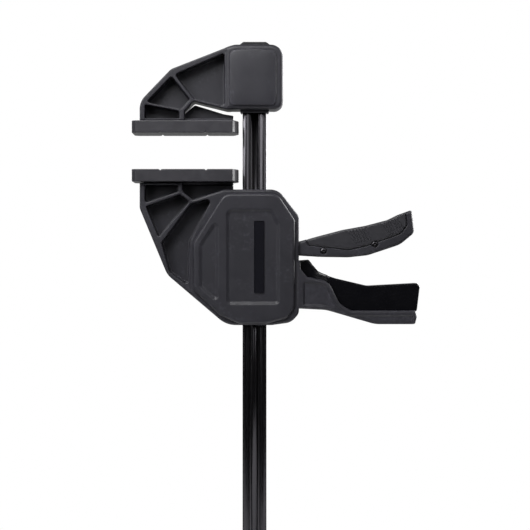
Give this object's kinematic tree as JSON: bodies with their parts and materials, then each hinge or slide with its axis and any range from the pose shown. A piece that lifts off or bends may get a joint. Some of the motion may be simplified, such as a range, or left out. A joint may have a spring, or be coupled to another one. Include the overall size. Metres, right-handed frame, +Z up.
{
  "type": "trigger bar clamp",
  "caption": "One-handed bar clamp: fixed jaw on a grooved steel bar, sliding jaw walked along it by a trigger, with a release lever set in the handle.",
  "frame": {"origin": "middle of the fixed pad's clamping face, which looks down the bar", "axes": "+Z up along the bar towards the fixed jaw, +X from the pads towards the handle, Y across the clamp"},
  "size_m": [0.2489, 0.044, 0.5277],
  "materials": {
    "charcoal_nylon": "fine moulded grain",
    "pad_rubber": "satin",
    "grip_rubber": "matte, ridged",
    "gloss_black": "gloss",
    "black_steel": "black oxide, satin",
    "bright_steel": "zinc plated",
    "spring_steel": "drawn wire",
    "label_black": "satin, blank",
    "guide_nylon": "smooth"
  },
  "bodies": {
    "bar_and_fixed_jaw": {"bar": "black_steel", "bar_stop_pin": "bright_steel", "fixed_jaw": "charcoal_nylon", "head_cover_front": "charcoal_nylon", "head_cover_rear": "charcoal_nylon", "head_top_cap": "guide_nylon", "head_pin_1": "bright_steel", "head_pin_2": "bright_steel", "fixed_pad": "pad_rubber"},
    "sliding_jaw": {"sliding_jaw_frame": "charcoal_nylon", "body_cover_front": "charcoal_nylon", "body_cover_rear": "charcoal_nylon", "label_strip_front": "label_black", "label_strip_rear": "label_black", "sliding_pad": "pad_rubber", "upper_bar_guide": "guide_nylon", "lower_bar_guide": "guide_nylon", "cover_screw_1": "bright_steel", "cover_screw_2": "bright_steel", "cover_screw_3": "bright_steel", "cover_screw_4": "bright_steel", "trigger_pivot_pin": "bright_steel", "release_pivot_pin": "bright_steel", "drive_spring": "spring_steel", "brake_spring": "spring_steel"},
    "trigger": {"trigger_yoke": "bright_steel", "trigger_shell_front": "charcoal_nylon", "trigger_shell_rear": "charcoal_nylon", "trigger_grip": "grip_rubber", "trigger_screw_1": "black_steel", "trigger_screw_2": "black_steel"},
    "drive": {"drive_plate_1": "bright_steel", "drive_plate_2": "bright_steel", "drive_plate_3": "bright_steel"},
    "release": {"release_lever": "gloss_black", "brake_plate": "bright_steel"}
  },
  "joints": [
    {"name": "jaw_slide", "type": "slide", "parent": "bar_and_fixed_jaw", "child": "sliding_jaw", "axis": [0, 0, 1], "range_m": [-0.2687, 0.031]},
    {"name": "trigger_squeeze", "type": "hinge", "parent": "sliding_jaw", "child": "trigger", "pos_m": [0.041, 0, -0.098], "axis": [0, 1, 0], "range_deg": [0, 9], "stiffness_Nm_per_rad": 1.5, "springref_deg": -17.19},
    {"name": "drive_stroke", "type": "slide", "parent": "sliding_jaw", "child": "drive", "axis": [0, 0, -1], "range_m": [0, 0.0045], "deforming": ["drive_spring"]},
    {"name": "release_press", "type": "hinge", "parent": "sliding_jaw", "child": "release", "pos_m": [0.039, 0, -0.138], "axis": [0, 1, 0], "range_deg": [0, 1.7], "stiffness_Nm_per_rad": 1.5, "springref_deg": -17.19, "deforming": ["brake_spring"]}
  ],
  "couplings": [
    {"joint": "drive_stroke", "follows": "trigger_squeeze", "m_per_rad": 0.024}
  ]
}
